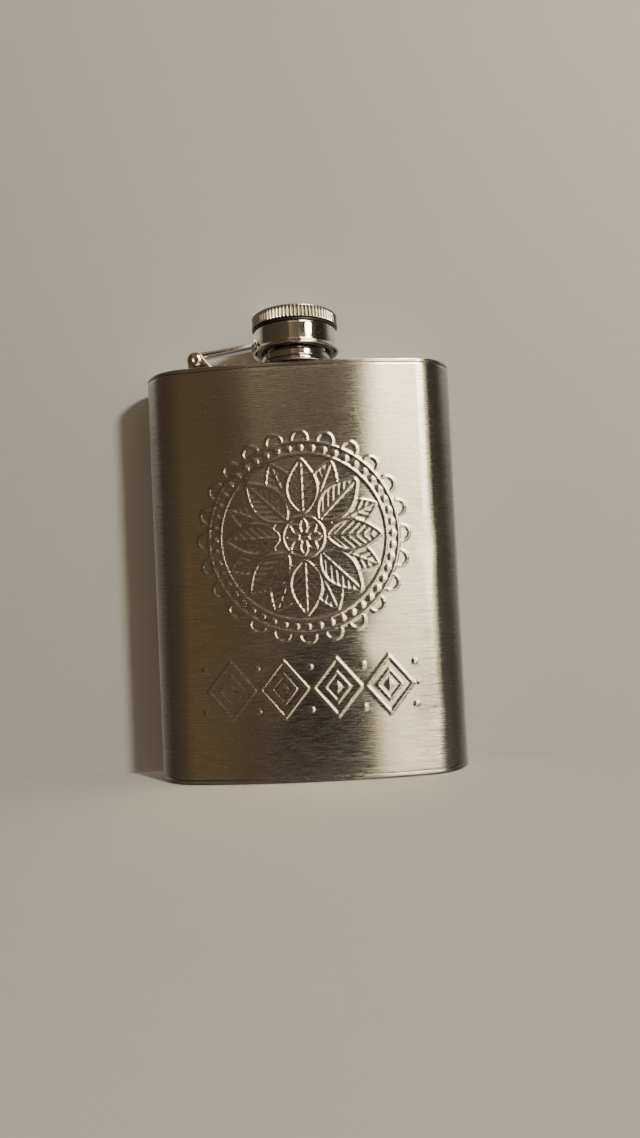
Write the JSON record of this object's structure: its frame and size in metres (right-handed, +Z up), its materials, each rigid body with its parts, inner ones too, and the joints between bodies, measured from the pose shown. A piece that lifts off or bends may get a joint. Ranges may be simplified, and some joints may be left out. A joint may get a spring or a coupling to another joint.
{
  "type": "hip flask",
  "caption": "Curved stainless steel hip flask with raised ornament, threaded neck and a knurled screw cap held by a hinged arm.",
  "frame": {"origin": "on the underside of the bottom plate, straight below the neck's axis", "axes": "+Z up along the neck; the bowed front faces -Y, the hollow back faces +Y, the hinge is on the -X side"},
  "size_m": [0.094, 0.028, 0.1392],
  "materials": {
    "brushed_wall": "horizontal satin brushing with fine scratches",
    "brushed_plate": "satin, rims polished",
    "polished_steel": "mirror polish",
    "knurled_steel": "polished, knurled edge",
    "hinge_steel": "plain stamped steel",
    "pin_steel": "polished rivet",
    "insert_steel": "turned",
    "weld": "weld bead",
    "black_plastic": "matt",
    "silicone": "matt",
    "white_plastic": "matt"
  },
  "bodies": {
    "flask": {"body_wall": "brushed_wall", "side_seam_weld": "weld", "bottom_plate": "brushed_plate", "top_plate": "brushed_plate", "threaded_neck": "polished_steel", "neck_weld": "weld", "hinge_bracket": "hinge_steel", "hinge_pin": "pin_steel"},
    "arm": {"arm_strip": "hinge_steel", "cap_sleeve": "polished_steel", "saddle_weld_front": "weld", "saddle_weld_back": "weld", "slip_washer": "black_plastic"},
    "retainer": {"retaining_ring": "hinge_steel"},
    "cap": {"threaded_insert": "insert_steel", "gasket": "silicone", "cap_core": "white_plastic", "cap_head": "knurled_steel"}
  },
  "joints": [
    {"name": "arm_swing", "type": "hinge", "parent": "flask", "child": "arm", "pos_m": [-0.0303, 0, 0.1264], "axis": [0, -1, 0], "range_deg": [0, 175]},
    {"name": "cap_rise", "type": "slide", "parent": "arm", "child": "retainer", "axis": [0, 0, 1], "range_m": [0, 0.005]},
    {"name": "cap_turn", "type": "hinge", "parent": "retainer", "child": "cap", "pos_m": [0, 0, 0.135], "axis": [0, 0, 1], "range_deg": [0, 900]}
  ],
  "couplings": [
    {"joint": "cap_turn", "follows": "cap_rise", "rad_per_m": 3141.6}
  ]
}
